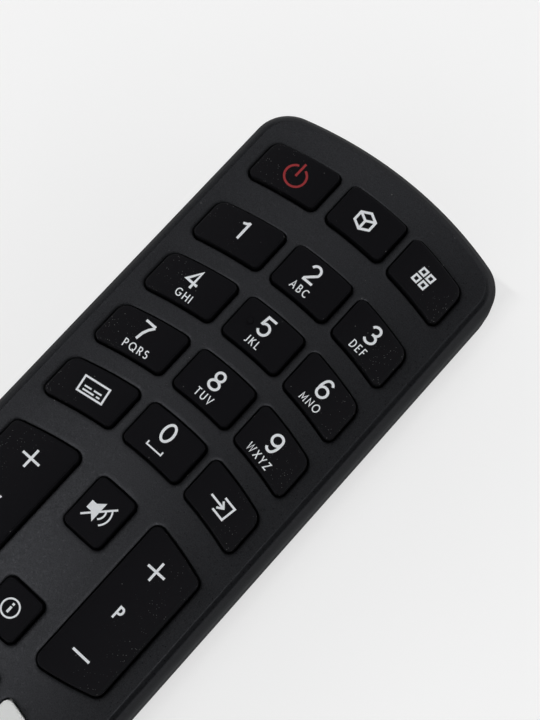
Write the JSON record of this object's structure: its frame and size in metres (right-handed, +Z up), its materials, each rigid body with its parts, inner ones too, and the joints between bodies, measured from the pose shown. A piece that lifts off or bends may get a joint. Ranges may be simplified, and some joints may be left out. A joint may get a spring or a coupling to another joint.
{
  "type": "tv remote control",
  "caption": "Long slim handset with bowed ends and a hollow face, rows of push keys, two long rockers, a direction pad, colour keys and a battery bay under a sliding door",
  "frame": {"origin": "centre of the bounding box in plan, at the resting belly face", "axes": "+Y along the case to the infrared end, +X across it to the right, +Z up out of the keyed face"},
  "size_m": [0.05, 0.205, 0.0212],
  "materials": {
    "key_rubber": "matte",
    "key_white": "matte",
    "key_red": "matte",
    "key_green": "matte",
    "key_yellow": "matte",
    "key_blue": "matte",
    "case_plastic": "fine texture",
    "cell_wrap": "satin",
    "spring_metal": "nickel plated",
    "board_green": "gloss lacquer",
    "sheet_rubber": "matte",
    "window_red": "gloss",
    "lamp_clear": "gloss",
    "chip_black": "matte",
    "crystal_can": "satin",
    "capacitor_sleeve": "gloss"
  },
  "bodies": {
    "case": {"battery_cell_a": "cell_wrap", "battery_cell_b": "cell_wrap", "bottom_case": "case_plastic", "bridge_contact": "spring_metal", "capacitor": "capacitor_sleeve", "chip_resistors": "chip_black", "circuit_board": "board_green", "controller_chip": "chip_black", "crystal": "crystal_can", "infrared_lamp": "lamp_clear", "infrared_window": "window_red", "keypad_sheet": "sheet_rubber", "negative_contact": "spring_metal", "positive_contact": "spring_metal", "top_case": "case_plastic", "transistor": "chip_black"},
    "key_0": {"key_0": "key_rubber"},
    "key_1": {"key_1": "key_rubber"},
    "key_2": {"key_2": "key_rubber"},
    "key_3": {"key_3": "key_rubber"},
    "key_4": {"key_4": "key_rubber"},
    "key_5": {"key_5": "key_rubber"},
    "key_6": {"key_6": "key_rubber"},
    "key_7": {"key_7": "key_rubber"},
    "key_8": {"key_8": "key_rubber"},
    "key_9": {"key_9": "key_rubber"},
    "key_blue": {"key_blue": "key_blue"},
    "key_captions": {"key_captions": "key_rubber"},
    "key_cube": {"key_cube": "key_rubber"},
    "key_down": {"key_down": "key_rubber"},
    "key_forward": {"key_forward": "key_rubber"},
    "key_green": {"key_green": "key_green"},
    "key_grid": {"key_grid": "key_rubber"},
    "key_info": {"key_info": "key_rubber"},
    "key_left": {"key_left": "key_rubber"},
    "key_menu": {"key_menu": "key_rubber"},
    "key_mute": {"key_mute": "key_rubber"},
    "key_ok": {"key_ok": "key_rubber"},
    "key_play": {"key_play": "key_rubber"},
    "key_power": {"key_power": "key_rubber"},
    "key_red": {"key_red": "key_red"},
    "key_rewind": {"key_rewind": "key_rubber"},
    "key_right": {"key_right": "key_rubber"},
    "key_source": {"key_source": "key_rubber"},
    "key_up": {"key_up": "key_rubber"},
    "key_white_left": {"key_white_left": "key_white"},
    "key_white_right": {"key_white_right": "key_white"},
    "key_yellow": {"key_yellow": "key_yellow"},
    "rocker_volume": {"rocker_volume": "key_rubber"},
    "rocker_channel": {"rocker_channel": "key_rubber"},
    "battery_door": {"battery_door": "case_plastic"}
  },
  "joints": [
    {"name": "press_0", "type": "slide", "parent": "case", "child": "key_0", "axis": [0, 0, 1], "range_m": [-0.0008, 0], "stiffness_N_per_m": 1000},
    {"name": "press_1", "type": "slide", "parent": "case", "child": "key_1", "axis": [0, 0, 1], "range_m": [-0.0008, 0], "stiffness_N_per_m": 1000},
    {"name": "press_2", "type": "slide", "parent": "case", "child": "key_2", "axis": [0, 0, 1], "range_m": [-0.0008, 0], "stiffness_N_per_m": 1000},
    {"name": "press_3", "type": "slide", "parent": "case", "child": "key_3", "axis": [0, 0, 1], "range_m": [-0.0008, 0], "stiffness_N_per_m": 1000},
    {"name": "press_4", "type": "slide", "parent": "case", "child": "key_4", "axis": [0, 0, 1], "range_m": [-0.0008, 0], "stiffness_N_per_m": 1000},
    {"name": "press_5", "type": "slide", "parent": "case", "child": "key_5", "axis": [0, 0, 1], "range_m": [-0.0008, 0], "stiffness_N_per_m": 1000},
    {"name": "press_6", "type": "slide", "parent": "case", "child": "key_6", "axis": [0, 0, 1], "range_m": [-0.0008, 0], "stiffness_N_per_m": 1000},
    {"name": "press_7", "type": "slide", "parent": "case", "child": "key_7", "axis": [0, 0, 1], "range_m": [-0.0008, 0], "stiffness_N_per_m": 1000},
    {"name": "press_8", "type": "slide", "parent": "case", "child": "key_8", "axis": [0, 0, 1], "range_m": [-0.0008, 0], "stiffness_N_per_m": 1000},
    {"name": "press_9", "type": "slide", "parent": "case", "child": "key_9", "axis": [0, 0, 1], "range_m": [-0.0008, 0], "stiffness_N_per_m": 1000},
    {"name": "press_blue", "type": "slide", "parent": "case", "child": "key_blue", "axis": [0, 0, 1], "range_m": [-0.0008, 0], "stiffness_N_per_m": 1000},
    {"name": "press_captions", "type": "slide", "parent": "case", "child": "key_captions", "axis": [0, 0, 1], "range_m": [-0.0008, 0], "stiffness_N_per_m": 1000},
    {"name": "press_cube", "type": "slide", "parent": "case", "child": "key_cube", "axis": [0, 0, 1], "range_m": [-0.0008, 0], "stiffness_N_per_m": 1000},
    {"name": "press_down", "type": "slide", "parent": "case", "child": "key_down", "axis": [0, 0, 1], "range_m": [-0.0008, 0], "stiffness_N_per_m": 1000},
    {"name": "press_forward", "type": "slide", "parent": "case", "child": "key_forward", "axis": [0, 0, 1], "range_m": [-0.0008, 0], "stiffness_N_per_m": 1000},
    {"name": "press_green", "type": "slide", "parent": "case", "child": "key_green", "axis": [0, 0, 1], "range_m": [-0.0008, 0], "stiffness_N_per_m": 1000},
    {"name": "press_grid", "type": "slide", "parent": "case", "child": "key_grid", "axis": [0, 0, 1], "range_m": [-0.0008, 0], "stiffness_N_per_m": 1000},
    {"name": "press_info", "type": "slide", "parent": "case", "child": "key_info", "axis": [0, 0, 1], "range_m": [-0.0008, 0], "stiffness_N_per_m": 1000},
    {"name": "press_left", "type": "slide", "parent": "case", "child": "key_left", "axis": [0, 0, 1], "range_m": [-0.0008, 0], "stiffness_N_per_m": 1000},
    {"name": "press_menu", "type": "slide", "parent": "case", "child": "key_menu", "axis": [0, 0, 1], "range_m": [-0.0008, 0], "stiffness_N_per_m": 1000},
    {"name": "press_mute", "type": "slide", "parent": "case", "child": "key_mute", "axis": [0, 0, 1], "range_m": [-0.0008, 0], "stiffness_N_per_m": 1000},
    {"name": "press_ok", "type": "slide", "parent": "case", "child": "key_ok", "axis": [0, 0, 1], "range_m": [-0.0008, 0], "stiffness_N_per_m": 1000},
    {"name": "press_play", "type": "slide", "parent": "case", "child": "key_play", "axis": [0, 0, 1], "range_m": [-0.0008, 0], "stiffness_N_per_m": 1000},
    {"name": "press_power", "type": "slide", "parent": "case", "child": "key_power", "axis": [0, 0, 1], "range_m": [-0.0008, 0], "stiffness_N_per_m": 1000},
    {"name": "press_red", "type": "slide", "parent": "case", "child": "key_red", "axis": [0, 0, 1], "range_m": [-0.0008, 0], "stiffness_N_per_m": 1000},
    {"name": "press_rewind", "type": "slide", "parent": "case", "child": "key_rewind", "axis": [0, 0, 1], "range_m": [-0.0008, 0], "stiffness_N_per_m": 1000},
    {"name": "press_right", "type": "slide", "parent": "case", "child": "key_right", "axis": [0, 0, 1], "range_m": [-0.0008, 0], "stiffness_N_per_m": 1000},
    {"name": "press_source", "type": "slide", "parent": "case", "child": "key_source", "axis": [0, 0, 1], "range_m": [-0.0008, 0], "stiffness_N_per_m": 1000},
    {"name": "press_up", "type": "slide", "parent": "case", "child": "key_up", "axis": [0, 0, 1], "range_m": [-0.0008, 0], "stiffness_N_per_m": 1000},
    {"name": "press_white_left", "type": "slide", "parent": "case", "child": "key_white_left", "axis": [0, 0, 1], "range_m": [-0.0008, 0], "stiffness_N_per_m": 1000},
    {"name": "press_white_right", "type": "slide", "parent": "case", "child": "key_white_right", "axis": [0, 0, 1], "range_m": [-0.0008, 0], "stiffness_N_per_m": 1000},
    {"name": "press_yellow", "type": "slide", "parent": "case", "child": "key_yellow", "axis": [0, 0, 1], "range_m": [-0.0008, 0], "stiffness_N_per_m": 1000},
    {"name": "rock_volume", "type": "hinge", "parent": "case", "child": "rocker_volume", "pos_m": [0, 0.01724, 0.0152], "axis": [1, 0, 0], "range_deg": [-2.5, 2.5], "stiffness_Nm_per_rad": 0.26},
    {"name": "rock_channel", "type": "hinge", "parent": "case", "child": "rocker_channel", "pos_m": [0, 0.01724, 0.0152], "axis": [1, 0, 0], "range_deg": [-2.5, 2.5], "stiffness_Nm_per_rad": 0.26},
    {"name": "slide_battery_door", "type": "slide", "parent": "case", "child": "battery_door", "axis": [0, -1, 0], "range_m": [0, 0.06]}
  ]
}
